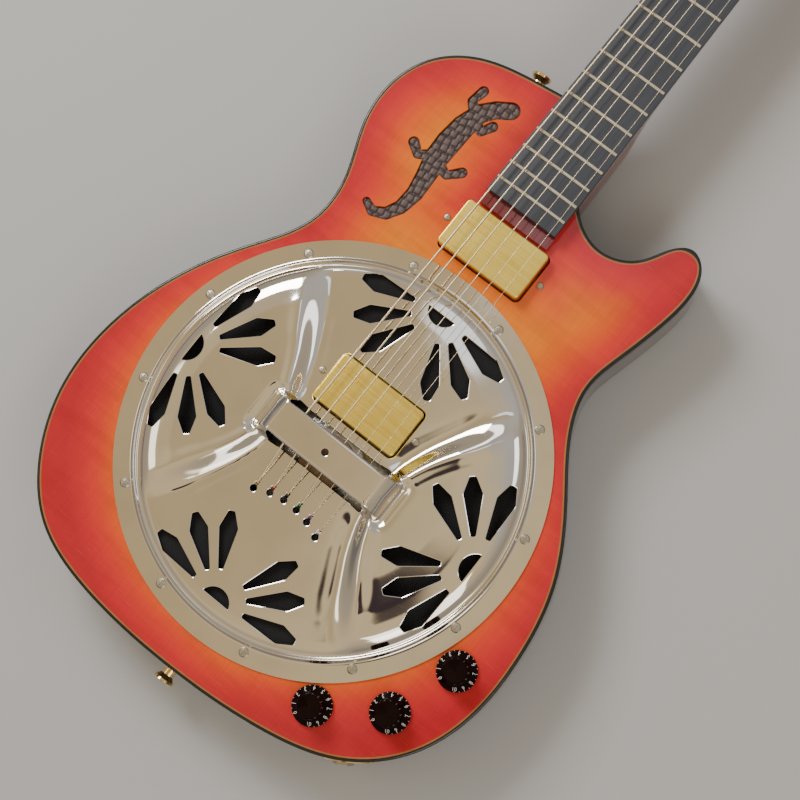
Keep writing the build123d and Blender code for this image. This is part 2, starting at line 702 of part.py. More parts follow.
def make_height_screws(place, surface):
    x, y, top, depth = place
    low = top - depth - 1.4
    screws = []
    for side in (-1, 1):
        origin = (x + side * PICKUP_SCREW_SPAN / 2, y, surface)
        screws.append(screw(origin, (0, 0, 1), 2.3, 1.3, surface - low + 3))
    return screws


def make_height_springs(place, surface):
    """Compression springs between the base's ears and the plate, one coiled wire each."""
    x, y, top, depth = place
    low = top - depth + 0.4
    springs = []
    for side in (-1, 1):
        pitch = (surface - low - 1.2) / 3
        coil = Helix(pitch=pitch, height=pitch * 3, radius=2.4)
        wire = sweep(Plane(origin=coil @ 0, z_dir=coil % 0) * Circle(0.35), path=coil, is_frenet=True)
        springs.append(Pos(x + side * PICKUP_SCREW_SPAN / 2, y, low) * wire)
    return springs


# ---- controls, jack, strap buttons ---------------------------------------------------

def make_pot_housing(x, y):
    housing = disc(8.2, x, y, CAP - 9.5, CAP - 0.3)
    housing -= disc(7.0, x, y, CAP - 8.0, CAP - 1.8)
    housing = housing + disc(3.5, x, y, CAP - 1.9, TOP + 3.4)
    lugs = block(x - 5, x + 5, y - 13, y - 7.6, CAP - 9.2, CAP - 8.4)
    return housing + lugs - disc(SHAFT_RADIUS + RUNNING_GAP, x, y, CAP - 4, TOP + 5)


def make_pot_shaft(x, y):
    return disc(SHAFT_RADIUS, x, y, CAP - 7.0, TOP + 13) + disc(5.6, x, y, CAP - 6.6, CAP - 5.2)


def make_pot_nut(x, y):
    nut = Pos(x, y) * slab(RegularPolygon(5.6, 6), TOP + 0.7, TOP + 3.0) - disc(3.5, x, y, TOP, TOP + 5)
    washer = disc(6.4, x, y, TOP, TOP + 0.65) - disc(3.5, x, y, TOP - 1, TOP + 2)
    return [nut, washer]


def make_knob(x, y):
    """A skirted knob, hollow below, with a blind bore that grips its shaft."""
    r = KNOB_SKIRT_RADIUS
    profile = [(0, TOP + KNOB_HEIGHT - 0.6), (6.6, TOP + KNOB_HEIGHT), (7.4, TOP + KNOB_HEIGHT - 0.7),
               (8.2, TOP + 6.0), (9.2, TOP + 5.0), (r, TOP + 2.2), (r, TOP + 0.8), (r - 1.4, TOP + 0.8),
               (7.6, TOP + 3.6), (7.0, TOP + 5.0), (4.6, TOP + 5.0), (4.6, TOP + 4.0),
               (SHAFT_RADIUS, TOP + 4.0), (SHAFT_RADIUS, TOP + 13), (0, TOP + 13)]
    return Pos(x, y) * turned(profile)


def make_jack_plate():
    """An oval plate bent to the body's side."""
    ring = slab(body_face(-1.5), JACK_HEIGHT - 15, JACK_HEIGHT + 15) - slab(body_face(0), 0, TOP)
    oval = extrude(side_plane(JACK_POINT, JACK_HEIGHT).offset(-12) * Ellipse(19, 11.5), amount=30)
    plate = ring & oval
    hole = extrude(side_plane(JACK_POINT, JACK_HEIGHT).offset(-12) * Circle(4.8), amount=30)
    return biggest(plate - hole)


def make_jack_socket():
    """A barrel jack: threaded barrel through the plate, a hex nut outside and a contact cage inside."""
    face = side_plane(JACK_POINT, JACK_HEIGHT)
    barrel = extrude(face.offset(JACK_SURFACE - 26) * Circle(4.7), amount=28.5)
    cage = extrude(face.offset(JACK_SURFACE - 27) * Circle(8.5), amount=24)
    nut = extrude(face.offset(JACK_SURFACE + 0.02) * RegularPolygon(6.6, 6), amount=2.0)
    bore = extrude(face.offset(JACK_SURFACE - 24) * Circle(JACK_BORE), amount=30)
    return barrel + cage + nut - bore


def make_strap_button(point, height):
    profile = [(1.9, 0), (6.0, 0), (5.6, 1.4), (4.0, 3.4), (4.0, 7.0), (6.4, 9.8), (6.9, 11.2), (6.2, 12.0),
               (3.4, 12.0), (1.9, 10.4)]
    return side_plane(point, height).location * turned(profile)


def make_strap_screw(point, height):
    profile = [(0, -24), (1.0, -24), (1.85, -20), (1.85, 10.45), (3.3, 11.9), (2.6, 12.6), (0, 12.9)]
    body = turned(profile)
    for turn in (0, 90):
        body -= Rot(0, 0, turn) * Pos(0, 0, 12.6) * Box(4.2, 0.9, 1.6)
    return side_plane(point, height).location * body


def small_screws():
    """The identical small wood screws that hold covers, jack plate and tuners."""
    screws = []
    for x, y in cover_screw_places():
        screws.append(screw((x, y, COUNTERSINK), (0, 0, -1), COVER_SCREW_HEAD, COVER_SCREW_SHANK, 11))
    jack = side_plane(JACK_POINT, JACK_HEIGHT)
    for side in (-1, 1):
        place = jack.from_local_coords(Vector(side * 14.5, 0, JACK_SURFACE - 14.5 ** 2 / 150))
        lean = Vector(*jack.z_dir).rotate(Axis.Z, side * 11)
        screws.append(screw(place, lean, 2.3, SMALL_SCREW_RADIUS, 11))
    tilt = head_plane().z_dir
    for x, y in TRUSS_COVER_SCREWS:
        screws.append(screw(head_point(x, y, VENEER + 1.8), tilt, 2.3, SMALL_SCREW_RADIUS, 8))
    for x, y, side in post_places():
        place = head_point(x, y + 10.6, -HEAD_THICKNESS - 1.6)
        screws.append(screw(place, tilt * -1, 2.3, SMALL_SCREW_RADIUS, 8))
    return screws


def make_wiring():
    """Three hook-up leads in the control cavity, from one control to the next and to the jack."""
    level = CAP - 12
    places = list(KNOB_PLACES.values())
    jack = side_plane(JACK_POINT, JACK_HEIGHT).offset(-26.4).origin
    runs = [(places[0], places[1]), (places[1], places[2])]
    leads = []
    for (x0, y0), (x1, y1) in runs:
        leads.append(rod(0.8, (x0 + 2, y0 + 9, level), (x1 - 2, y1 + 9, level)))
    leads.append(rod(0.8, (jack.X, jack.Y, JACK_HEIGHT), (places[1][0] - 5, places[1][1] - 5, CAP - 11.2)))
    return leads


# ---- build ---------------------------------------------------------------------------

neck = make_neck()
strings = [make_string(number) for number in range(6)]
slots = [make_string(number, 0.02) for number in range(6)]
frets = [make_fret(fret_line(n)) for n in range(1, FRET_COUNT + 1)]
fasteners = small_screws()
plate_screws = []
for place in plate_screw_places():
    plate_screws.append(screw((*place, TOP + PLATE_SHEET), (0, 0, 1), 3.2, 1.6, 14))
neck_height = make_height_screws(NECK_PICKUP, TOP)
bridge_height = make_height_screws(BRIDGE_PICKUP, TOP + VALLEY_HEIGHT)
strap_places = [TAIL_BUTTON, SHOULDER_BUTTON]
strap_screws = [make_strap_screw(*place) for place in strap_places]
strap_buttons = [make_strap_button(*place) for place in strap_places]

shell = make_body_shell(neck)
for tool in fasteners + plate_screws + strap_screws + strap_buttons:
    shell -= tool
write("body_shell", shell)

top_plate = make_top_plate(neck)
for tool in plate_screws + neck_height:
    top_plate -= tool
write("top_plate", biggest(top_plate))

outer = slab(body_face(0), CAP, TOP)
outer = fillet(max(outer.edges().group_by(Axis.Z)[-1], key=lambda edge: edge.length), 1.2)
binding = outer - slab(body_face(BINDING_WIDTH), CAP - 1, TOP + 1) - neck
write("body_binding", biggest(binding))
line = slab(body_face(BINDING_WIDTH), CAP, TOP)
line -= slab(body_face(BINDING_WIDTH + PURFLING_WIDTH), CAP - 1, TOP + 1)
line -= neck
write("purfling", biggest(line))
write("leather_inlay", slab(lizard_face(0.25), TOP - 2.0, TOP - 0.8))

write("cover_plate", make_cover_plate())
write("cover_plate_screws", *plate_screws)
cloth = disc(122.5, 0, 0, TOP - 0.6, TOP - 0.2) - block(-45, 45, -50, 58, TOP - 2, TOP)
write("screen_cloth", cloth)
write("resonator_cone", make_cone())
write("bridge_biscuit", make_biscuit())
write("bridge_saddle", make_saddle(slots))
write("biscuit_screw", screw((0, BRIDGE_LINE, CONE_CROWN - CONE_SHEET - 0.02), (0, 0, -1), 3.0, 1.55, 5.5))

control_cover = make_control_cover()
for tool in fasteners:
    control_cover -= tool
write("control_cover", control_cover)
for tool in fasteners:
    neck -= tool
write("neck", neck)
write("fingerboard", make_fingerboard(frets))
write("frets", *frets)
write("side_dots", *make_side_dots())
write("nut", make_nut(slots))
write("truss_rod", make_truss_rod())
write("truss_rod_cover", make_truss_cover())
veneer = make_veneer()
for tool in [neck] + fasteners:
    veneer -= tool
write("headstock_veneer", veneer)

write("neck_pickup_cover", make_pickup_cover(NECK_PICKUP))
write("bridge_pickup_cover", make_pickup_cover(BRIDGE_PICKUP))
write("pickup_coils", *make_pickup_coils(NECK_PICKUP), *make_pickup_coils(BRIDGE_PICKUP))
write("pickup_bases", make_pickup_base(NECK_PICKUP), make_pickup_base(BRIDGE_PICKUP))
write("pickup_magnets", make_pickup_magnet(NECK_PICKUP), make_pickup_magnet(BRIDGE_PICKUP))
write("pickup_height_screws", *neck_height, *bridge_height)
write("pickup_springs", *make_height_springs(NECK_PICKUP, CAP),
      *make_height_springs(BRIDGE_PICKUP, TOP + VALLEY_HEIGHT - PLATE_SHEET))

nuts = []
pots = []
for name, (x, y) in KNOB_PLACES.items():
    write(f"{name}_knob", make_knob(x, y))
    write(f"{name}_shaft", make_pot_shaft(x, y))
    pots.append(make_pot_housing(x, y))
    nuts.extend(make_pot_nut(x, y))
write("control_pots", *pots)
write("pot_nuts_and_washers", *nuts)
write("jack_plate", biggest(make_jack_plate() - fasteners[4] - fasteners[5]))
write("jack_socket", make_jack_socket())
write("wiring", *make_wiring())
write("small_screws", *fasteners)
write("strap_buttons", *strap_buttons)
write("strap_button_screws", *strap_screws)

write("strings", *strings)
write("ball_ends", *[make_ball_end(number) for number in range(6)])
write("tuner_housings", *[place_tuner(place, make_tuner_housing()) for place in post_places()])
write("tuner_bushings", *[place_tuner(place, make_bushing()) for place in post_places()])
for number, place in enumerate(post_places()):
    radius = STRING_RADII[number]
    post = [make_tuner_post(radius), *make_winding(radius)]
    write(f"tuner_post_{number + 1}", *[place_tuner(place, solid) for solid in post])
    write(f"tuner_key_{number + 1}", place_tuner(place, make_tuner_key()))
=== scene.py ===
import bpy
import numpy as np
from mathutils import Matrix, Vector
from mathutils.geometry import delaunay_2d_cdt


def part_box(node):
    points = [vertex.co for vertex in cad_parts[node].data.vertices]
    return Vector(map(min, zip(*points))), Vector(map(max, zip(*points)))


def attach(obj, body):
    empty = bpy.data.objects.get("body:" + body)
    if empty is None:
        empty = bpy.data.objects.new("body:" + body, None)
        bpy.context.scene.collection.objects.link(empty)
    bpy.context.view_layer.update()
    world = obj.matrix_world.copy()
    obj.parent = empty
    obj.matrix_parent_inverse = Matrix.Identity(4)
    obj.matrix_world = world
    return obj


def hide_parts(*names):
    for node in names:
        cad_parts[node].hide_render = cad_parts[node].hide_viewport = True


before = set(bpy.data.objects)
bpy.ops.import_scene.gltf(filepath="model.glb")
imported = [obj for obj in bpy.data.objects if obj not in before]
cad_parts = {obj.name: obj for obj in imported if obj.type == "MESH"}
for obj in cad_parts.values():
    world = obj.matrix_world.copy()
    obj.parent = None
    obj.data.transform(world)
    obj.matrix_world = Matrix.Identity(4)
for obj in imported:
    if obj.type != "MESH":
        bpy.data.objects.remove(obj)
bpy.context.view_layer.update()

MM = 0.001

# Camera: a 70 mm view from above the treble side, turned so that the neck runs to the upper right.
camera_data = bpy.data.cameras.new("camera")
camera_data.lens = 70.4
camera_data.sensor_width = 36.0
camera = bpy.data.objects.new("camera", camera_data)
bpy.context.scene.collection.objects.link(camera)
top_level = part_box("top_plate")[1][2]
right_way = (0.7766, 0.6204, -0.1102)
up_way = (-0.6014, 0.7820, 0.1639)
back_way = (0.1878, -0.0610, 0.9803)
camera.matrix_world = Matrix.LocRotScale(
    Vector((0.1922, -0.0048, top_level + 0.9403)),
    Matrix((right_way, up_way, back_way)).transposed().to_quaternion(), None)
bpy.context.scene.camera = camera


class Flow:
    """A shader socket that does sums: each operator on values adds one Math node."""

    def __init__(self, nodes, socket):
        self.nodes = nodes
        self.socket = socket

    def maths(self, operation, *others):
        values = dict(enumerate((self, *others)))
        return self.nodes.add("ShaderNodeMath", {"operation": operation}, values)

    def output(self, number):
        """Another output of the node that this value comes from."""
        return Flow(self.nodes, self.socket.node.outputs[number])

    def __add__(self, other):
        return self.maths("ADD", other)

    def __mul__(self, other):
        return self.maths("MULTIPLY", other)

    def __sub__(self, other):
        return self.maths("SUBTRACT", other)

    def __truediv__(self, other):
        return self.maths("DIVIDE", other)

    def __rsub__(self, other):
        return self.nodes.add("ShaderNodeMath", {"operation": "SUBTRACT"}, {0: other, 1: self})

    def __pow__(self, other):
        return self.maths("POWER", other)

    __radd__ = __add__
    __rmul__ = __mul__

    def between(self, low, high):
        """0 below low, 1 above high, and a smooth step from one to the other."""
        settings = {"interpolation_type": "SMOOTHSTEP"}
        values = {"Value": self, "From Min": low, "From Max": high}
        return self.nodes.add("ShaderNodeMapRange", settings, values)


class Nodes:
    """A node tree with one way to add any node."""

    def __init__(self, tree):
        self.tree = tree

    def add(self, kind, settings=(), inputs=(), out=0):
        node = self.tree.nodes.new(kind)
        for key, value in dict(settings).items():
            if key == "stops":
                while len(node.color_ramp.elements) < len(value):
                    node.color_ramp.elements.new(0.5)
                for element, (place, colour) in zip(node.color_ramp.elements, value):
                    element.position = place
                    element.color = (*colour, 1.0)
            else:
                setattr(node, key, value)
        for key, value in dict(inputs).items():
            self.feed(node.inputs[key], value)
        return Flow(self, node.outputs[out])

    def feed(self, socket, value):
        if isinstance(value, Flow):
            self.tree.links.new(value.socket, socket)
        else:
            socket.default_value = value

    def mix(self, amount, first, second):
        """Blends two colours, each a link or a plain colour."""
        pair = [c if isinstance(c, Flow) else (*c, 1.0) for c in (first, second)]
        settings = {"data_type": "RGBA"}
        return self.add("ShaderNodeMix", settings, {0: amount, 6: pair[0], 7: pair[1]}, out=2)


class Finish(Nodes):
    """One material: its Principled shader and the patterns that feed it."""

    def __init__(self, name):
        self.material = bpy.data.materials.new(name)
        self.material.use_nodes = True
        super().__init__(self.material.node_tree)
        self.shader = self.tree.nodes["Principled BSDF"]

    def place(self, scale=(1, 1, 1), turn=(0, 0, 0)):
        """Object coordinates, stretched and turned."""
        here = self.add("ShaderNodeTexCoord", out="Object")
        return self.add("ShaderNodeMapping", (), {"Vector": here, "Scale": scale, "Rotation": turn})

    def noise(self, size, scale=(1, 1, 1), detail=3.0, turn=(0, 0, 0)):
        """Noise whose features are about the given size in metres."""
        inputs = {"Vector": self.place(scale, turn), "Scale": 1.0 / size, "Detail": detail}
        return self.add("ShaderNodeTexNoise", (), inputs)

    def bump(self, height, depth):
        inputs = {"Height": height, "Distance": depth, "Strength": 1.0}
        return self.add("ShaderNodeBump", (), inputs)

    def surface(self, **sockets):
        for name, value in sockets.items():
            socket = self.shader.inputs[name.replace("_", " ")]
            if isinstance(value, tuple) and len(value) == 3:
                value = (*value, 1.0)
            self.feed(socket, value)
        return self.material


def paint(finish, *names):
    """Gives CAD nodes a finish in place of their plain one."""
    for name in names:
        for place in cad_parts[name].material_slots:
            place.material = finish.material


# The floor and the light: a plain pale floor just under the flat back, and a warm ceiling overhead that
# the polished plate mirrors, with soft lamps low round the room and one dim patch overhead.
floor_mesh = bpy.data.meshes.new("floor")
floor_reach = 60.0
floor_level = -0.0002
floor_corners = [(-floor_reach, -floor_reach, floor_level), (floor_reach, -floor_reach, floor_level),
                 (floor_reach, floor_reach, floor_level), (-floor_reach, floor_reach, floor_level)]
floor_mesh.from_pydata(floor_corners, [], [(0, 1, 2, 3)])
floor = bpy.data.objects.new("floor", floor_mesh)
bpy.context.scene.collection.objects.link(floor)
floor_paint = Finish("floor_pale")
floor_paint.surface(Base_Color=(0.46, 0.46, 0.465), Roughness=0.9, Specular_IOR_Level=0.1)
floor_mesh.materials.append(floor_paint.material)

world = bpy.data.worlds.new("studio")
world.use_nodes = True
bpy.context.scene.world = world
sky = Nodes(world.node_tree)
facing = sky.add("ShaderNodeTexCoord", out="Generated")
ray_x = sky.add("ShaderNodeSeparateXYZ", (), {0: facing})
ray_y = ray_x.output(1)
ray_z = ray_x.output(2)
least_rise = 0.05
rise = ray_z.maths("MAXIMUM", least_rise)
over_x = ray_x / rise
over_y = ray_y / rise


def patch(x, y, wide, long, soft):
    """1 inside an ellipse on the ceiling, at slopes x and y from straight up, falling off over soft."""
    gap = (((over_x - x) / wide) ** 2.0 + ((over_y - y) / long) ** 2.0).maths("SQRT")
    return 1 - gap.between(1.0 - soft, 1.0 + soft)


ceiling = sky.mix(over_y.between(0.05, 0.35), (0.85, 0.69, 0.44), (0.63, 0.61, 0.59))
ceiling = sky.mix(patch(-0.36, -0.02, 0.22, 0.5, 0.5), ceiling, (0.68, 0.53, 0.31))
room = sky.mix(ray_z.between(0.35, 0.88), (0.50, 0.43, 0.34), ceiling)
walls = sky.mix(ray_z.between(0.05, 0.3), (0.22, 0.21, 0.20), room)
lit = sky.mix(patch(0.03, -0.12, 0.10, 0.12, 0.25), walls, (0.06, 0.045, 0.05))
softness = 0.18
lamps_round_the_room = [(-0.17, 0.33, 0.07, 0.17, (1.5, 1.6, 1.75)),
                        (-1.0, -0.35, 0.27, 0.30, (2.9, 2.75, 2.45)),
                        (-0.95, 0.75, 0.24, 0.28, (3.1, 3.2, 3.4)),
                        (0.75, 0.85, 0.22, 0.36, (2.8, 2.9, 3.1)),
                        (0.95, -0.7, 0.22, 0.26, (2.1, 1.95, 1.65))]
for slope_x, slope_y, wide, long, colour in lamps_round_the_room:
    lit = sky.mix(patch(slope_x, slope_y, wide, long, softness), lit, colour)
background = world.node_tree.nodes["Background"]
sky.feed(background.inputs["Color"], lit)
sky.feed(background.inputs["Strength"], 0.85)

for name, spot, power, size in [("lamp_key", (-1.25, 0.55, 1.25), 24.0, 0.7),
                                ("lamp_fill", (1.2, -0.6, 1.2), 7.0, 1.0)]:
    lamp_data = bpy.data.lights.new(name, "AREA")
    lamp_data.energy = power
    lamp_data.size = size
    lamp = bpy.data.objects.new(name, lamp_data)
    lamp.matrix_world = Matrix.LocRotScale(Vector(spot), (-Vector(spot)).to_track_quat("-Z", "Y"), None)
    bpy.context.scene.collection.objects.link(lamp)


# Maple top: a flamed maple plate glued on the body, under a sunburst lacquer that was sprayed by hand,
# amber in the middle and cherry red at the edge. Its plan is near enough a few rounds and a cutaway.
PER_MM = (1000, 1000, 1000)
BODY_ROUNDS = [(0, -14, 150, 1.10), (-50, 195, 72, 1.0), (46, 168, 66, 1.0), (92, 213, 19, 1.0),
               (0, 128, 104, 1.0)]
CUT_X, CUT_Y, CUT_RADIUS = 53, 247, 44
NECK_HALF_WIDTH, NECK_END = 24, 186
FULL_DEPTH = 95.0


def sunburst():
    """Colour from how deep, in millimetres, a point lies inside the body: the greatest depth in its
    rounds, less near the cutaway and the neck, then flame across and fine grain along."""
    wood = Finish("sunburst_lacquer")
    x = wood.add("ShaderNodeSeparateXYZ", (), {0: wood.place(PER_MM)})
    y = x.output(1)
    depth = None
    for cx, cy, radius, widen in BODY_ROUNDS:
        gap = (((x - cx) / widen) ** 2.0 + (y - cy) ** 2.0).maths("SQRT")
        inside = radius - gap
        depth = inside if depth is None else depth.maths("SMOOTH_MAX", inside, 16.0)
    cut = ((x - CUT_X) ** 2.0 + (y - CUT_Y) ** 2.0).maths("SQRT") - CUT_RADIUS
    depth = depth.maths("SMOOTH_MIN", cut, 14.0)
    neck_gap = (x.maths("ABSOLUTE") - NECK_HALF_WIDTH).maths("MAXIMUM", NECK_END - y)
    depth = depth.maths("SMOOTH_MIN", neck_gap * 0.8 + 8, 10.0)
    drift = wood.noise(0.05, detail=2.0)
    depth = depth + (drift - 0.5) * 12.0
    stops = [(0.0, (0.50, 0.018, 0.028)), (0.10, (0.61, 0.024, 0.032)), (0.20, (0.72, 0.046, 0.026)),
             (0.31, (0.81, 0.114, 0.014)), (0.48, (0.86, 0.205, 0.005)), (0.80, (0.90, 0.285, 0.008))]
    burst = wood.add("ShaderNodeValToRGB", {"stops": stops}, {0: depth / FULL_DEPTH})
    flame = wood.noise(0.014, (0.25, 1.8, 1), 2.0, (0, 0, 0.1)).between(0.40, 0.68)
    grain = wood.noise(0.0009, (1, 0.03, 1), 3.0).between(0.3, 0.75)
    blush = wood.noise(0.028, detail=3.0).between(0.4, 0.7)
    shade = flame * 0.13 + grain * 0.10 + blush * 0.07
    burst = wood.mix(shade, burst, (0.22, 0.008, 0.006))
    peel = wood.noise(0.006, detail=1.0)
    scuff = wood.noise(0.0006, (0.04, 1, 1), 2.0, (0, 0, 0.9)).between(0.62, 0.8)
    burst = wood.mix(scuff * 0.06, burst, (0.80, 0.45, 0.35))
    wood.surface(Base_Color=burst, Roughness=0.25 + scuff * 0.2, Specular_IOR_Level=0.2,
                 Coat_Weight=0.38, Coat_Roughness=0.05,
                 Normal=wood.bump(peel, 0.00003))
    return wood


paint(sunburst(), "top_plate")


# Body back and sides: one mahogany blank, routed for the cone and the controls, in dark gloss lacquer.
# The black binding and the pale line inside it are plastic strips glued into a ledge round the top.
sides = Finish("sides_lacquer")
vein = sides.noise(0.002, (1, 0.05, 1), 4.0)
dark = sides.mix(vein.between(0.35, 0.7), (0.010, 0.004, 0.004), (0.032, 0.008, 0.006))
sides.surface(Base_Color=dark, Roughness=0.16 + vein * 0.08, Coat_Weight=0.8, Coat_Roughness=0.04)
paint(sides, "body_shell")

black_strip = Finish("binding_black")
black_strip.surface(Base_Color=(0.012, 0.011, 0.011), Roughness=0.14 + black_strip.noise(0.004) * 0.12)
paint(black_strip, "body_binding")
cream_strip = Finish("binding_cream")
cream = cream_strip.mix(cream_strip.noise(0.012), (0.28, 0.095, 0.028), (0.42, 0.19, 0.06))
cream_strip.surface(Base_Color=cream, Roughness=0.2)
paint(cream_strip, "purfling")


# Cover plate: one sheet of brass, pressed to two low string valleys, two raised sides and a palm rest
# over the bridge, pierced with four fans of holes, then nickel plated and held by twelve screws.
plate_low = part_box("cover_plate")[0]
plate_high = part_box("cover_plate")[1]
PLATE_RADIUS = (plate_high[0] - plate_low[0]) / 2 / MM
TOP = top_level / MM
SHEET = 1.0
REST_HEIGHT = plate_high[2] / MM - TOP


def step(value, low, high):
    """0 below low, 1 above high, smooth between."""
    t = np.clip((value - low) / (high - low), 0, 1)
    return t * t * (3 - 2 * t)


def smoothed(places, values, blur):
    """A line through the given values, blurred by a bell curve so that it has no corners."""
    fine = np.arange(places[0] - 6 * blur, places[-1] + 6 * blur, 0.1)
    weights = np.exp(-(np.arange(-4 * blur, 4 * blur + 0.05, 0.1) / blur) ** 2 / 2)
    padded = np.interp(fine, places, values)
    soft = np.convolve(padded, weights / weights.sum(), "same")
    clear_of_ends = abs(fine - fine.mean()) < np.ptp(fine) / 2 - 4 * blur
    line = np.where(clear_of_ends, soft, padded)
    return lambda at: np.interp(at, fine, line)


valley_line = smoothed([-60, 0, 55, 100, 112, 117.5, 120.5, 123, 140],
                       [5.2, 5.2, 5.0, 4.0, 3.4, 2.8, 1.2, 1.0, 1.0], 0.8)
sector_line = smoothed([-45, 0, 45, 80, 98, 108, 113, 117, 120.5, 123, 140],
                       [10.5, 10.5, 10.5, 10.0, 9.2, 8.0, 6.6, 4.6, 1.4, 1.0, 1.0], 0.9)
ridge_line = smoothed([-20, 0, 12, 22, 40, 60, 78, 90, 100, 112],
                      [35.5, 35.5, 36, 38, 44, 54, 63, 69, 78, 92], 4.0)


BEAD_RADIUS, BEAD_WIDTH, BEAD_HEIGHT = 123.2, 1.25, 1.9
CREST_HEIGHT, HOLLOW_DEPTH, SADDLE_DEPTH = 0.9, 0.8, 3.4
REST_HALF_LENGTH = 38
REST_CROWN, REST_ROLL = 0.4, 0.8


def bell(value, width):
    """1 at zero, falling off on both sides as a bell curve."""
    return np.exp(-(value / width) ** 2)


def plate_height(x, y):
    """Height over the top: a flat rim, a round bead, then valleys blended into raised sides along a
    waisted ridge line, and the palm rest as a flat strap that dips in a saddle at each end."""
    r = np.hypot(x, y)
    ax = np.abs(x)
    ay = np.abs(y)
    past_ridge = ax - ridge_line(ay)
    wall = np.interp(ay, [0, 30, 70, 95], [8, 12, 20, 26])
    side = step(past_ridge, 0, wall)
    crest = CREST_HEIGHT * bell(past_ridge - wall, wall * 0.45) * step(114 - r, 0, 30)
    hollow = HOLLOW_DEPTH * bell(past_ridge + 2, 6.0) * step(108 - r, 0, 25) * step(ay, 14, 26)
    form = valley_line(r) + (sector_line(r) - valley_line(r)) * side + crest - hollow
    form = form + BEAD_HEIGHT * bell(r - BEAD_RADIUS, BEAD_WIDTH)
    strap = step(53 - ax, 0, 16) * step(15.2 - ay, 0, 4.2)
    saddle = SADDLE_DEPTH * bell(ax - 48.5, 4.0) * step(20 - ay, 0, 10)
    roll = REST_ROLL * step(ay, 9.6, 11.2) * (ax < REST_HALF_LENGTH)
    rest = REST_HEIGHT - REST_CROWN * (ax / REST_HALF_LENGTH) ** 2 - roll
    return form + (rest - form) * strap - saddle * (1 - strap)


def plate_lean(x, y):
    """Upward unit normals of the plate, from the height's slope over a tenth of a millimetre."""
    reach = 0.1
    slope_x = (plate_height(x + reach, y) - plate_height(x - reach, y)) / (2 * reach)
    slope_y = (plate_height(x, y + reach) - plate_height(x, y - reach)) / (2 * reach)
    lean = np.stack([-slope_x, -slope_y, np.ones_like(slope_x)], -1)
    return lean / np.linalg.norm(lean, axis=-1, keepdims=True)


def ring(cx, cy, radius, count):
    turn = np.linspace(0, 2 * np.pi, count, endpoint=False)
    return np.stack([cx + radius * np.cos(turn), cy + radius * np.sin(turn)], 1)


def spun(points, degrees, dx=0.0, dy=0.0):
    """Points turned about their own origin and then moved."""
    turn = np.radians(degrees)
    matrix = np.array([[np.cos(turn), np.sin(turn)], [-np.sin(turn), np.cos(turn)]])
    return np.asarray(points, float) @ matrix + (dx, dy)


def soften(points, radius, count=5):
    """Each corner of a closed loop becomes a short curve: a quadratic blend of its two sides."""
    points = np.asarray(points, float)
    before = np.roll(points, 1, 0)
    after = np.roll(points, -1, 0)
    near = np.linalg.norm(before - points, axis=1, keepdims=True)
    far = np.linalg.norm(after - points, axis=1, keepdims=True)
    start = points + (before - points) * np.minimum(radius / near, 0.45)
    stop = points + (after - points) * np.minimum(radius / far, 0.45)
    t = np.linspace(0, 1, count)[None, :, None]
    curve = (1 - t) ** 2 * start[:, None] + 2 * t * (1 - t) * points[:, None] + t ** 2 * stop[:, None]
    return curve.reshape(-1, 2)


def refine(loop, length):
    """Adds even points so that no side of a closed loop is longer than length."""
    after = np.roll(loop, -1, 0)
    counts = np.maximum(1, np.ceil(np.linalg.norm(after - loop, axis=1) / length).astype(int))
    index = np.repeat(np.arange(len(loop)), counts)
    share = (np.arange(counts.sum()) - np.repeat(np.cumsum(counts) - counts, counts)) / counts[index]
    return loop[index] + (after - loop)[index] * share[:, None]


def contains(loop, points):
    """Even-odd test of points against a closed loop."""
    x = points[:, 0][:, None]
    y = points[:, 1][:, None]
    x0, y0 = loop[:, 0][None], loop[:, 1][None]
    x1, y1 = np.roll(x0, -1, 1), np.roll(y0, -1, 1)
    crosses = (y0 > y) != (y1 > y)
    run = np.where(y1 == y0, 1e-9, y1 - y0)
    return (np.sum(crosses & (x < (x1 - x0) * (y - y0) / run + x0), 1) % 2) == 1


def grown(loop, distance):
    """A closed loop moved outwards by a distance, each point square to the line between its
    neighbours."""
    along = np.roll(loop, -1, 0) - np.roll(loop, 1, 0)
    along /= np.linalg.norm(along, axis=1, keepdims=True)
    after = np.roll(loop, -1, 0)
    turn = np.sign(np.sum(loop[:, 0] * after[:, 1] - after[:, 0] * loop[:, 1]))
    return loop + distance * turn * np.column_stack([along[:, 1], -along[:, 0]])


def staggered(outer, spacing):
    """Points in staggered rows over the box of a loop."""
    lo, hi = outer.min(0), outer.max(0)
    rows = np.arange(lo[1], hi[1], spacing * 0.866)
    gx, gy = np.meshgrid(np.arange(lo[0], hi[0], spacing), rows)
    gx = gx + (np.arange(len(rows)) % 2)[:, None] * spacing / 2
    return np.stack([gx.ravel(), gy.ravel()], 1)


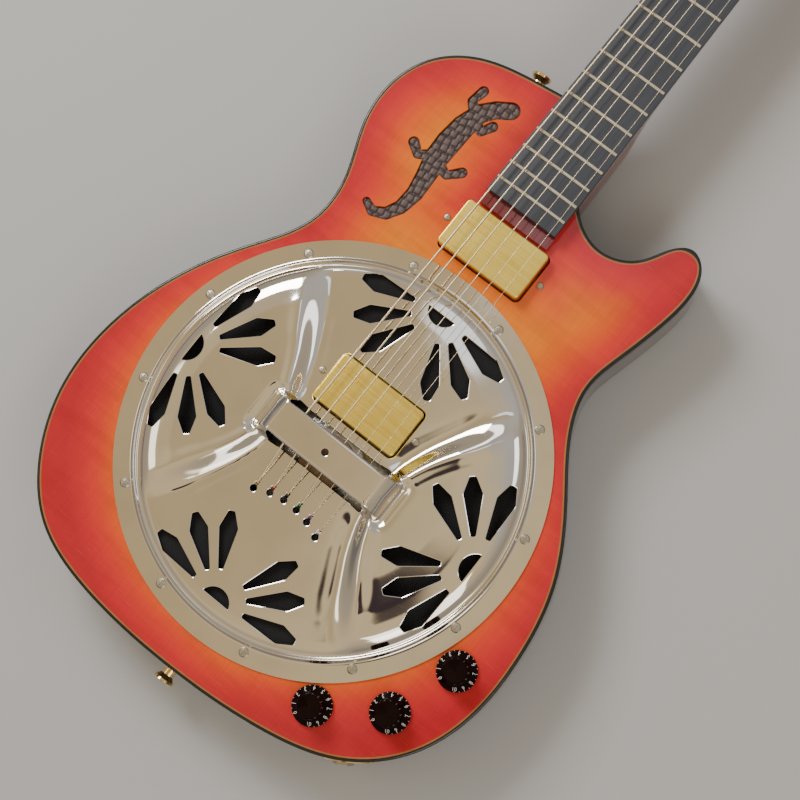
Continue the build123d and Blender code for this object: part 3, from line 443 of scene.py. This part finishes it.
def filled_plan(outer, holes, inside, spacing, lip=0.0):
    """Triangles over the plan between an outer loop and its holes, through the points inside. A lip adds
    a second loop round each hole. Returns points, triangles, and which points are on a hole's edge."""
    grid = inside[contains(outer, inside)]
    lips = [grown(loop, lip) for loop in holes] if lip else []
    for loop in [outer] + holes:
        reach = spacing * 0.55 + (0 if loop is outer else lip)
        close = np.all((grid > loop.min(0) - 2 * spacing) & (grid < loop.max(0) + 2 * spacing), 1)
        some = grid[close]
        gap = np.full(len(some), 1e9)
        for part in np.array_split(loop, max(1, len(loop) // 60)):
            apart = np.hypot(some[:, :1] - part[:, 0], some[:, 1:] - part[:, 1])
            gap = np.minimum(gap, np.min(apart, 1))
        bad = gap < reach
        if loop is not outer:
            bad |= contains(loop, some)
        keep = np.ones(len(grid), bool)
        keep[np.flatnonzero(close)[bad]] = False
        grid = grid[keep]
    points = np.concatenate([outer] + holes + lips + [grid])
    edges = []
    start = 0
    for loop in [outer] + holes:
        index = np.arange(start, start + len(loop))
        edges.extend(zip(index.tolist(), np.roll(index, -1).tolist()))
        start += len(loop)
    made = delaunay_2d_cdt([Vector(p) for p in points], edges, [], 0, 1e-6)
    plan = np.array([tuple(v) for v in made[0]])
    faces = np.array([f for f in made[2]])
    rim = np.array([bool(given) and len(outer) <= min(given) < start for given in made[3]])
    centre = plan[faces].mean(1)
    keep = contains(outer, centre)
    for hole in holes:
        near = np.flatnonzero(np.all((centre > hole.min(0)) & (centre < hole.max(0)), 1))
        keep[near[contains(hole, centre[near])]] = False
    faces = faces[keep]
    a, b, c = plan[faces[:, 0]], plan[faces[:, 1]], plan[faces[:, 2]]
    flip = (b - a)[:, 0] * (c - a)[:, 1] - (b - a)[:, 1] * (c - a)[:, 0] < 0
    faces[flip] = faces[flip][:, ::-1]
    used = np.unique(faces)
    order = np.full(len(plan), -1)
    order[used] = np.arange(len(used))
    return plan[used], order[faces], rim[used]


def thick_sheet(name, plan, faces, top, bottom, sharp=50):
    """A closed sheet: the same triangles above and below, joined by a wall along every free edge."""
    count = len(plan)
    upper = np.column_stack([plan, top])
    lower = np.column_stack([plan, bottom])
    sides = np.concatenate([faces[:, [0, 1]], faces[:, [1, 2]], faces[:, [2, 0]]])
    key = sides.min(1).astype(np.int64) * count + sides.max(1)
    _, inverse, uses = np.unique(key, return_inverse=True, return_counts=True)
    free = sides[uses[inverse] == 1]
    wall = np.column_stack([free[:, 1], free[:, 0], free[:, 0] + count, free[:, 1] + count])
    return solid(name, np.concatenate([upper, lower]) * MM,
                 [*faces.tolist(), *(faces[:, ::-1] + count).tolist(), *wall.tolist()], sharp)


def solid(name, points, faces, sharp=50):
    """A smooth-shaded mesh object at the world origin, sharp where faces meet at more than an angle."""
    mesh = bpy.data.meshes.new(name)
    mesh.from_pydata(np.asarray(points).tolist(), [], faces)
    mesh.update()
    mesh.shade_smooth()
    mesh.set_sharp_from_angle(angle=np.radians(sharp))
    piece = bpy.data.objects.new(name, mesh)
    bpy.context.scene.collection.objects.link(piece)
    return piece


def finished(piece, finish, body, slot, *nodes):
    """Gives a new piece its finish and body, and hides the CAD nodes it stands for; the slot is not
    used.
    """
    piece.data.materials.append(finish.material)
    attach(piece, body)
    if nodes:
        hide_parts(*nodes)


EDGE_STEP = 1.4
FAN_ANGLES = (28, 52, 78)
FAN_CENTRE = 112
PETAL = [(-1.5, -19.5), (1.5, -19.5), (6, -45), (2, -55.5), (-2, -55.5), (-6, -45)]
MOON_RADIUS, MOON_CENTRE, MOON_START = 10.4, 113.9, 16.2
STRING_SLOT = [(-38, 0.8), (-36, 2.6), (-30, 1.9), (30, 1.9), (36, 2.6), (38, 0.8),
               (38, -0.8), (36, -2.4), (30, -1.9), (-30, -1.9), (-36, -2.4), (-38, -0.8)]
SLOT_MIDDLE = 13.1
KEYHOLES = [(24.5, -44), (14.6, -40), (5, -38.2)]
KEY_RADIUS, KEY_NECK, KEY_REACH = 2.3, 1.1, 4.4
SCREW_CIRCLE, SCREW_COUNT, SCREW_HOLE = 129, 12, 1.7
BISCUIT_HOLE = 2.4
PICKUP_SCREW_X, PICKUP_SCREW_Y = 36.5, 39


def plate_holes():
    """Fans, string slots with wide ends, pickup window, keyholes and screw holes, as closed loops."""
    holes = []
    for quarter in range(4):
        bulge = np.linspace(np.radians(MOON_START), np.radians(180 - MOON_START), 16)
        moon = np.stack([MOON_RADIUS * np.cos(bulge), MOON_CENTRE - MOON_RADIUS * np.sin(bulge)], 1)
        holes.append(refine(spun(soften(moon, 0.5, 3), 90 * quarter), EDGE_STEP))
        for angle in FAN_ANGLES:
            for side in (-1, 1):
                petal = spun(soften(PETAL, 0.9, 4), side * angle, 0, FAN_CENTRE)
                holes.append(refine(spun(petal, 90 * quarter), EDGE_STEP))
    for side in (-1, 1):
        holes.append(refine(soften(STRING_SLOT, 1.6, 4) + (0, side * SLOT_MIDDLE), 1.2))
    low, high = np.array(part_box("bridge_pickup_cover"))[:, :2] / MM
    window = np.array([(low[0], low[1]), (high[0], low[1]), (high[0], high[1]), (low[0], high[1])])
    outwards = np.sign(window - window.mean(0))
    holes.append(refine(soften(window + outwards * 1.0, 4.5, 7), EDGE_STEP))
    turn = np.radians(np.linspace(-240, 60, 22))
    key = np.stack([KEY_RADIUS * np.cos(turn), KEY_RADIUS * np.sin(turn)], 1)
    tip = np.radians(np.linspace(0, 180, 7))
    neck = np.stack([KEY_NECK * np.cos(tip), KEY_REACH + KEY_NECK * np.sin(tip)], 1)
    for x, y in KEYHOLES:
        for side in (-1, 1):
            holes.append(np.concatenate([key, neck]) + (side * x, y))
    for k in range(SCREW_COUNT):
        turn = np.radians(15 + 30 * k)
        holes.append(ring(SCREW_CIRCLE * np.cos(turn), SCREW_CIRCLE * np.sin(turn), SCREW_HOLE, 16))
    holes.append(ring(0, 0, BISCUIT_HOLE, 24))
    for side in (-1, 1):
        holes.append(ring(side * PICKUP_SCREW_X, PICKUP_SCREW_Y, SCREW_HOLE, 16))
    return holes


def nickel_finish(name, colour, wear):
    """Plated metal: faint hand-polish streaks, tiny pits and clouding in the roughness only."""
    metal = Finish(name)
    cloud = metal.noise(0.03, detail=3.0)
    streak = metal.noise(0.0007, (0.05, 1, 1), 3.0, (0, 0, 0.5)).between(0.55, 0.8)
    dull = metal.mix(cloud.between(0.35, 0.75), colour, tuple(c * 0.93 for c in colour))
    rough = wear + cloud * wear * 0.8 + streak * wear * 1.2
    metal.surface(Base_Color=dull, Metallic=1.0, Roughness=rough,
                  Normal=metal.bump(metal.noise(0.02, detail=1.0), 0.00006))
    return metal


nickel = nickel_finish("polished_nickel", (0.83, 0.78, 0.70), 0.035)
FINE = 1.5
EDGE_LIP, EDGE_DROP = 0.4, 0.16
hoops = [*np.arange(107, 119, 1.0), *np.arange(119, 127.5, 0.5), 128.5, 130, 131.5, 133, 134.8]
middle = staggered(ring(0, 0, hoops[0] - 1, 60), FINE)
middle = middle[np.hypot(middle[:, 0], middle[:, 1]) < hoops[0] - 1]
inside = np.concatenate([middle] + [ring(0, 0, hoop, 400) for hoop in hoops])
outline = ring(0, 0, PLATE_RADIUS, 400)
plan, faces, rim = filled_plan(outline, plate_holes(), inside, FINE, lip=EDGE_LIP)
level = TOP + plate_height(plan[:, 0], plan[:, 1])
pressed = thick_sheet("pressed_cover_plate", plan, faces, level - EDGE_DROP * rim, level - SHEET, 40)


def polished_normals(piece, plan, faces, rim):
    """Each corner of a top or bottom triangle takes the exact normal of the height; the rolled edges
    of the holes and the walls keep their own flat ones."""
    mesh = piece.data
    flat = np.empty(len(mesh.polygons) * 3)
    mesh.polygons.foreach_get("normal", flat)
    flat = flat.reshape(-1, 3)
    corners = np.empty(len(mesh.loops), int)
    mesh.loops.foreach_get("vertex_index", corners)
    sizes = np.empty(len(mesh.polygons), int)
    mesh.polygons.foreach_get("loop_total", sizes)
    normals = np.repeat(flat, sizes, 0)
    lean = plate_lean(plan[:, 0], plan[:, 1])
    count = len(faces)
    smooth = np.repeat(~rim[faces].any(1), 3)
    normals[:3 * count][smooth] = lean[corners[:3 * count]][smooth]
    normals[3 * count:6 * count] = -lean[corners[3 * count:6 * count] - len(plan)]
    mesh.normals_split_custom_set(normals.tolist())


polished_normals(pressed, plan, faces, rim)
finished(pressed, nickel, "body", "nickel", "cover_plate")

screw_metal = nickel_finish("screw_nickel", (0.50, 0.46, 0.38), 0.24)
paint(screw_metal, "cover_plate_screws", "pickup_height_screws", "small_screws", "biscuit_screw",
      "jack_socket", "pot_nuts_and_washers", "pickup_springs", "pickup_bases", "pickup_magnets",
      "control_pots", "truss_rod", "neck_volume_shaft", "bridge_volume_shaft", "tone_shaft")


# Screen: a disc of black woven cloth glued under the cover plate, so that the cone does not show through
# the fans. It is cut away round the bridge and its pickup.
SCREEN_WINDOW = [(-45, -50), (45, -50), (45, 58), (-45, 58)]
SCREEN_STEP = 4.0


def screen_cloth():
    """A flat annulus with a window, barely rippled; the weave is two crossed waves."""
    low, high = np.array(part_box("screen_cloth")) / MM
    radius = (high[0] - low[0]) / 2
    window = refine(soften(SCREEN_WINDOW, 3, 4), SCREEN_STEP)
    outer = ring(0, 0, radius, 180)
    plan, faces, _ = filled_plan(outer, [window], staggered(outer, SCREEN_STEP), SCREEN_STEP)
    level = high[2] - 0.08 + 0.06 * np.sin(plan[:, 0] / 6.0) * np.sin(plan[:, 1] / 7.5)
    return thick_sheet("fan_screen", plan, faces, level, level - 0.2)


weave = Finish("black_weave")
warp, weft = [weave.add("ShaderNodeTexWave", {"bands_direction": way},
                        {"Vector": weave.place(), "Scale": 220.0}) for way in "XY"]
thread = warp.output(1).maths("MAXIMUM", weft.output(1))
cloth_colour = weave.mix(thread, (0.001, 0.001, 0.0015), (0.009, 0.009, 0.011))
weave.surface(Base_Color=cloth_colour, Roughness=0.95, Normal=weave.bump(thread, 0.0002))
screen = screen_cloth()
finished(screen, weave, "body", "screen", "screen_cloth")


# Leather inlay: a stiff piece of brown leather, embossed with pillow-shaped tiles and glued into a
# lizard-shaped pocket in the top. Each limb is a line of places with a half-width at each.
LIZARD = [[(-47, 240, 6), (-55, 235, 6), (-62, 227, 6.5), (-65, 214, 8), (-66, 201, 8.5), (-66, 188, 8),
           (-64, 175, 6.6), (-62.5, 162, 5.6), (-64, 150, 4.8), (-69, 141, 4.2), (-77, 137, 3.4),
           (-84, 140, 2.6)],
          [(-63, 224, 4), (-71, 231, 3), (-69, 240, 3.6)],
          [(-62, 222, 4), (-54, 218, 3), (-50, 225, 3.6)],
          [(-66, 190, 4.5), (-77, 183, 3), (-84, 188, 3.6)],
          [(-65, 186, 4.5), (-54, 183, 3), (-47, 190, 3.6)]]
TILE_LONG, TILE_WIDE, TILE_LEAN = 5.4, 4.6, 0.12
LEATHER_GRID, LEATHER_GAP = 0.45, 0.12


def lizard_gap(x, y):
    """Signed distance to the lizard: the least over bars whose radius tapers from end to end."""
    gap = np.full(np.shape(x), 1e9)
    for limb in LIZARD:
        for (x0, y0, r0), (x1, y1, r1) in zip(limb, limb[1:]):
            run = (x1 - x0) ** 2 + (y1 - y0) ** 2
            t = np.clip(((x - x0) * (x1 - x0) + (y - y0) * (y1 - y0)) / run, 0, 1)
            away = np.hypot(x - x0 - t * (x1 - x0), y - y0 - t * (y1 - y0))
            gap = np.minimum(gap, away - r0 - t * (r1 - r0))
    return gap


def scales(x, y):
    """Pillow-shaped tiles in rows that lean and vary a little, 0 in the creases and 1 on the tiles."""
    along, across = np.cos(TILE_LEAN), np.sin(TILE_LEAN)
    v = (-x * across + y * along) / TILE_LONG + 0.15 * np.sin(x / 7.0)
    row = np.floor(v)
    u = (x * along + y * across) / TILE_WIDE + 0.5 * (row % 2) + 0.23 * np.sin(2.1 * row)
    v = v + 0.14 * np.sin(2.3 * np.floor(u) + row)
    pu = 2 * np.abs(u - np.floor(u) - 0.5)
    pv = 2 * np.abs(v - np.floor(v) - 0.5)
    return 1 - np.clip((pu ** 5 + pv ** 5), 0, 1)


def leather_sheet():
    """A fine grid over the lizard; points just outside are drawn back onto its outline."""
    low, high = np.array(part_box("leather_inlay")) / MM
    size = LEATHER_GRID
    gx, gy = np.meshgrid(np.arange(low[0] - 1, high[0] + 1, size),
                         np.arange(low[1] - 1, high[1] + 1, size))
    edge = -LEATHER_GAP
    for _ in range(2):
        gap = lizard_gap(gx, gy) - edge
        slope_x = (lizard_gap(gx + 0.01, gy) - lizard_gap(gx - 0.01, gy)) / 0.02
        slope_y = (lizard_gap(gx, gy + 0.01) - lizard_gap(gx, gy - 0.01)) / 0.02
        near = (gap > 0) & (gap < size * 1.3)
        gx = np.where(near, gx - gap * slope_x, gx)
        gy = np.where(near, gy - gap * slope_y, gy)
    inside = (lizard_gap(gx, gy) - edge) < 0.05
    rows, columns = gx.shape
    index = np.arange(rows * columns).reshape(rows, columns)
    whole = inside[:-1, :-1] & inside[1:, :-1] & inside[:-1, 1:] & inside[1:, 1:]
    a, b = index[:-1, :-1][whole], index[:-1, 1:][whole]
    c, d = index[1:, 1:][whole], index[1:, :-1][whole]
    faces = np.concatenate([np.column_stack([a, b, c]), np.column_stack([a, c, d])])
    used = np.unique(faces)
    order = np.full(rows * columns, -1)
    order[used] = np.arange(len(used))
    plan = np.stack([gx.ravel(), gy.ravel()], 1)[used]
    tile = scales(plan[:, 0], plan[:, 1])
    pull = step(-lizard_gap(plan[:, 0], plan[:, 1]), 0.1, 1.6)
    top = high[2] - 0.78 + 0.66 * tile * (0.35 + 0.65 * pull) + 0.1 * pull
    piece = thick_sheet("lizard_leather", plan, order[faces], top, np.full(len(plan), low[2] + 0.05), 70)
    layer = piece.data.attributes.new("tile", "FLOAT", "POINT")
    layer.data.foreach_set("value", np.concatenate([tile, 0 * tile]))
    return piece


hide = Finish("embossed_leather")
mottle = hide.noise(0.006, detail=4.0)
pore = hide.add("ShaderNodeTexVoronoi", {"feature": "DISTANCE_TO_EDGE"},
                {"Vector": hide.place(), "Scale": 1400.0})
tile = hide.add("ShaderNodeAttribute", {"attribute_name": "tile"}, out="Fac")
# The tiles are lighter than the creases between them: painted shade in the creases; the mottle is the
# leather's own tone.
browns_shaded_in_creases = [(0.0, (0.016, 0.006, 0.006)), (0.45, (0.036, 0.018, 0.016)), (1.0, (0.094, 0.058, 0.052))]
tone = hide.add("ShaderNodeValToRGB", {"stops": browns_shaded_in_creases}, {0: tile * (0.45 + mottle)})
hide.surface(Base_Color=tone, Roughness=0.34 + mottle * 0.25, Normal=hide.bump(pore, 0.00008))
finished(leather_sheet(), hide, "body", "leather", "leather_inlay")


# Cone and bridge: a cone of thin aluminium spun on a lathe, with a maple biscuit screwed to its crown.
# The saddle, also maple, stands in a slot in the biscuit and carries the strings.
spun_metal = Finish("spun_aluminium")
spin = spun_metal.add("ShaderNodeTexWave", {"wave_type": "RINGS", "rings_direction": "Z"},
                      {"Vector": spun_metal.place(), "Scale": 90.0})
spun_metal.surface(Base_Color=(0.72, 0.72, 0.73), Metallic=1.0, Roughness=0.3 + spin * 0.12)
paint(spun_metal, "resonator_cone")
# Both maple colours are darker than the light tan of real maple: painted shade for the biscuit and
# saddle under the cover plate; the ray figure is the wood's own.
maple_in_painted_shade = Finish("maple_in_painted_shade")
ray = maple_in_painted_shade.noise(0.0015, (1, 0.08, 1), 4.0)
maple_tone_painted_dark = maple_in_painted_shade.mix(ray.between(0.35, 0.7), (0.24, 0.15, 0.08), (0.15, 0.085, 0.04))
maple_in_painted_shade.surface(Base_Color=maple_tone_painted_dark, Roughness=0.5)
paint(maple_in_painted_shade, "bridge_biscuit", "bridge_saddle")


# Pickups: two coils on a base plate under a drawn nickel-silver cover, brushed along its length and gold
# plated. The jack plate, strap buttons and tuners are polished before they are plated.
gold = Finish("brushed_gold")
brush = gold.noise(0.0011, (0.03, 1, 1), 4.0)
blotch = gold.noise(0.010, detail=4.0)
tarnish = gold.mix(brush.between(0.3, 0.7) * 0.7 + blotch * 0.3, (0.90, 0.64, 0.10), (1.0, 0.80, 0.21))
gold.surface(Base_Color=tarnish, Metallic=1.0, Roughness=0.22 + brush * 0.14 + blotch * 0.03,
             Normal=gold.bump(brush, 0.00003))
paint(gold, "neck_pickup_cover", "bridge_pickup_cover")
gold_gloss = nickel_finish("gold_plate", (0.90, 0.66, 0.30), 0.09)
TUNERS = range(1, 7)
paint(gold_gloss, "jack_plate", "strap_buttons", "strap_button_screws", "tuner_housings",
      "tuner_bushings", *[f"tuner_post_{k}" for k in TUNERS], *[f"tuner_key_{k}" for k in TUNERS])
coil_tape = Finish("coil_tape")
coil_tape.surface(Base_Color=(0.02, 0.02, 0.02), Roughness=0.5 + coil_tape.noise(0.002) * 0.2)
paint(coil_tape, "pickup_coils", "wiring")


# Neck: one piece of mahogany in cherry lacquer, glued into the body, with an oiled ebony fingerboard
# and pressed-in frets. The nut is bone, and the headstock has a black lacquered face.
cherry = Finish("cherry_lacquer")
stripe = cherry.noise(0.0016, (1, 0.04, 1), 4.0)
stained = cherry.mix(stripe.between(0.3, 0.7), (0.20, 0.006, 0.010), (0.12, 0.004, 0.007))
cherry.surface(Base_Color=stained, Roughness=0.16 + stripe * 0.08, Coat_Weight=0.9, Coat_Roughness=0.04)
paint(cherry, "neck")
ebony = Finish("oiled_ebony_painted_sheen")
fibre = ebony.noise(0.0011, (1, 0.025, 1), 4.0)
damp = ebony.noise(0.02, (1, 0.3, 1), 2.0)
# The near-black tones and fibres are the ebony's own; their blue tint is a painted cool sheen.
ebony_tone_and_blue_sheen = ebony.mix(fibre.between(0.35, 0.7), (0.038, 0.043, 0.055), (0.052, 0.058, 0.074))
ebony.surface(Base_Color=ebony_tone_and_blue_sheen, Roughness=0.34 + fibre * 0.05 + damp * 0.12,
              Normal=ebony.bump(fibre, 0.000015))
paint(ebony, "fingerboard")
fret_metal = nickel_finish("fret_metal", (0.98, 0.94, 0.84), 0.12)
paint(fret_metal, "frets")
bone = Finish("polished_bone")
ivory_tone = bone.mix(bone.noise(0.004), (0.72, 0.64, 0.48), (0.80, 0.74, 0.60))
bone.surface(Base_Color=ivory_tone, Roughness=0.3)
paint(bone, "nut", "side_dots")
black_gloss = Finish("black_gloss")
black_gloss.surface(Base_Color=(0.010, 0.010, 0.011), Coat_Weight=0.6,
                    Roughness=0.10 + black_gloss.noise(0.01) * 0.10)
paint(black_gloss, "headstock_veneer", "truss_rod_cover")
black_satin = Finish("black_satin")
black_satin.surface(Base_Color=(0.018, 0.018, 0.019),
                    Roughness=0.42 + black_satin.noise(0.0008) * 0.15)
paint(black_satin, "control_cover")


# Strings: two plain steel and four nickel-wound, from the posts over nut and saddle to the keyholes in
# the plate, where their ball ends hook in. Each ball end has its own coloured finish.
wound = Finish("string_metal")
winding = wound.add("ShaderNodeTexWave", {"bands_direction": "Y"},
                    {"Vector": wound.place(), "Scale": 700.0})
wrap = winding.output(1)
# The wire's bronze colour is its own; its darker bands in the grooves between windings are painted
# shade.
wire_with_groove_shade = wound.mix(wrap, (0.50, 0.41, 0.27), (0.74, 0.62, 0.42))
wound.surface(Base_Color=wire_with_groove_shade, Metallic=1.0, Roughness=0.30, Normal=wound.bump(wrap, 0.00002))
paint(wound, "strings")
ball_paint = Finish("ball_colours")
across = ball_paint.add("ShaderNodeSeparateXYZ", (), {0: ball_paint.place(PER_MM)})
share = (across + 30) / 60.0
ball_stops = [(0.0, (0.62, 0.42, 0.16)), (0.18, (0.45, 0.05, 0.05)), (0.34, (0.03, 0.03, 0.03)),
              (0.51, (0.03, 0.20, 0.09)), (0.67, (0.16, 0.05, 0.24)), (0.84, (0.62, 0.62, 0.62))]
tint = ball_paint.add("ShaderNodeValToRGB", {"stops": ball_stops}, {0: share})
tint.socket.node.color_ramp.interpolation = "CONSTANT"
ball_paint.surface(Base_Color=tint, Metallic=0.6, Roughness=0.35)
paint(ball_paint, "ball_ends")


# Knobs: moulded black plastic with a sloping skirt, each pushed on its pot's shaft. White figures from
# 0 to 10 and ticks are printed round the skirt.
shell = Finish("knob_black")
swirl = shell.noise(0.003)
plastic = shell.mix(swirl, (0.003, 0.001, 0.001), (0.010, 0.002, 0.002))
shell.surface(Base_Color=plastic, Roughness=0.14 + swirl * 0.1, Specular_IOR_Level=0.12)
white = Finish("figure_white")
white.surface(Base_Color=(0.78, 0.76, 0.70), Roughness=0.45 + white.noise(0.001) * 0.1)
SKIRT_OUT, SKIRT_IN = 12.5, 9.2
SKIRT_LOW, SKIRT_TOP = 2.2, 5.0
INK = 0.03
FIGURE_HEIGHT, FIGURE_PLACE = 3.1, 11.6
TICK_HALF_WIDTH, TICK_PLACE, TICK_LONG, TICK_SHORT = 0.14, 12.4, 0.75, 0.5
FIRST_MARK, TICK_TURN = 30, 15


def on_skirt(flat):
    """Wraps flat points (along the rim, out from the axis) round the cone of the skirt."""
    radius = flat[:, 1]
    turn = flat[:, 0] / radius
    height = SKIRT_TOP + (radius - SKIRT_IN) / (SKIRT_OUT - SKIRT_IN) * (SKIRT_LOW - SKIRT_TOP)
    return np.column_stack([radius * np.sin(turn), -radius * np.cos(turn), TOP + height + INK])


def figure_mesh(text):
    """The flat outline of a figure as points and faces, 1 unit tall, from the built-in typeface."""
    curve = bpy.data.curves.new("figure", "FONT")
    curve.body = text
    curve.align_x = "CENTER"
    holder = bpy.data.objects.new("figure", curve)
    bpy.context.scene.collection.objects.link(holder)
    mesh = bpy.data.meshes.new_from_object(holder)
    points = np.empty(len(mesh.vertices) * 3)
    mesh.vertices.foreach_get("co", points)
    faces = [list(p.vertices) for p in mesh.polygons]
    bpy.data.objects.remove(holder)
    return points.reshape(-1, 3)[:, :2], faces


FIGURES = [figure_mesh(str(n)) for n in range(11)]


def skirt_marks(cx, cy):
    """Figures 0 to 10 printed round the skirt, read from outside, with ticks at them and between."""
    points, faces, start = [], [], 0
    marks = [(outline * FIGURE_HEIGHT + (0, -FIGURE_PLACE), shapes, 2 * TICK_TURN * n + FIRST_MARK)
             for n, (outline, shapes) in enumerate(FIGURES)]
    for k in range(2 * len(FIGURES) - 1):
        near = (TICK_LONG if k % 2 == 0 else TICK_SHORT) - TICK_PLACE
        tick = np.array([(-TICK_HALF_WIDTH, -TICK_PLACE), (TICK_HALF_WIDTH, -TICK_PLACE),
                         (TICK_HALF_WIDTH, near), (-TICK_HALF_WIDTH, near)])
        marks.append((tick, [[0, 1, 2, 3]], TICK_TURN * k + FIRST_MARK))
    for flat, shapes, bearing in marks:
        wrapped = on_skirt(flat * (1, -1))
        turn = np.radians(bearing)
        matrix = np.array([[np.cos(turn), -np.sin(turn)], [np.sin(turn), np.cos(turn)]])
        wrapped[:, :2] = wrapped[:, :2] @ matrix
        points.append(wrapped)
        faces.extend([[i + start for i in f] for f in shapes])
        start += len(wrapped)
    return np.concatenate(points) + (cx, cy, 0), faces


for name in ("neck_volume", "bridge_volume", "tone"):
    paint(shell, f"{name}_knob")
    low, high = np.array(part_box(f"{name}_knob")) / MM
    print_points, print_faces = skirt_marks((low[0] + high[0]) / 2, (low[1] + high[1]) / 2)
    marks = solid(f"{name}_figures", print_points * MM, print_faces)
    finished(marks, white, f"{name}_control", "knob_black")
